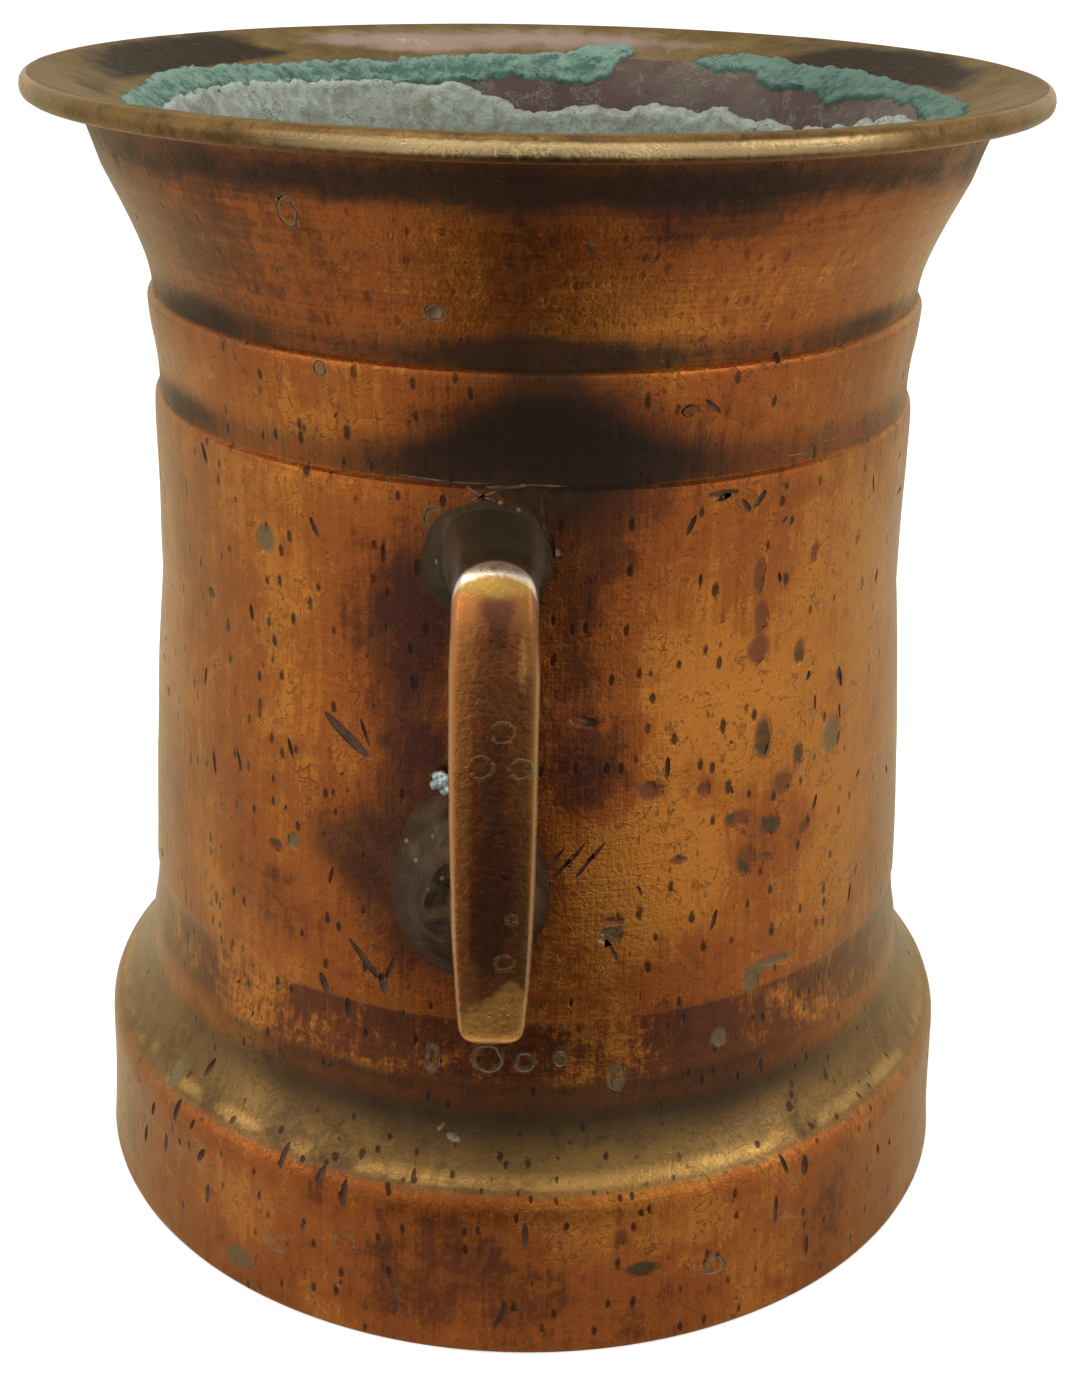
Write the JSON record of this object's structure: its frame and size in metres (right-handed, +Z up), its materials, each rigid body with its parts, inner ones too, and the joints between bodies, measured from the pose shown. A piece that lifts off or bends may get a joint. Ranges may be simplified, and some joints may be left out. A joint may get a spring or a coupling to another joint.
{
  "type": "grinding bowl",
  "caption": "Tall cast bronze grinding bowl with a turned lip, collar and spreading foot, an ear handle soldered to its wall, and green and white salts inside its mouth.",
  "frame": {"origin": "middle of the foot's flat underside", "axes": "+Z up along the turned axis, -Y towards the handle, +X to the right of someone who faces the handle"},
  "size_m": [0.1184, 0.1234, 0.14],
  "materials": {
    "bowl_bronze": "old oiled bronze, copper-orange with maroon and brown oxide, pits and scratches",
    "handle_bronze": "handled bronze, pale on the edges, maroon-brown along the middle",
    "solder": "dull grey-brown solder",
    "bright_solder": "pale blue-grey solder",
    "verdigris": "powdery green copper salts",
    "lime_scale": "powdery grey-white scale"
  },
  "bodies": {
    "root": {"bowl_casting": "bowl_bronze", "handle_casting": "handle_bronze", "upper_solder_fillet": "solder", "lower_solder_fillet": "solder", "solder_bead": "bright_solder", "verdigris_crust": "verdigris", "lime_scale": "lime_scale"}
  },
  "joints": []
}
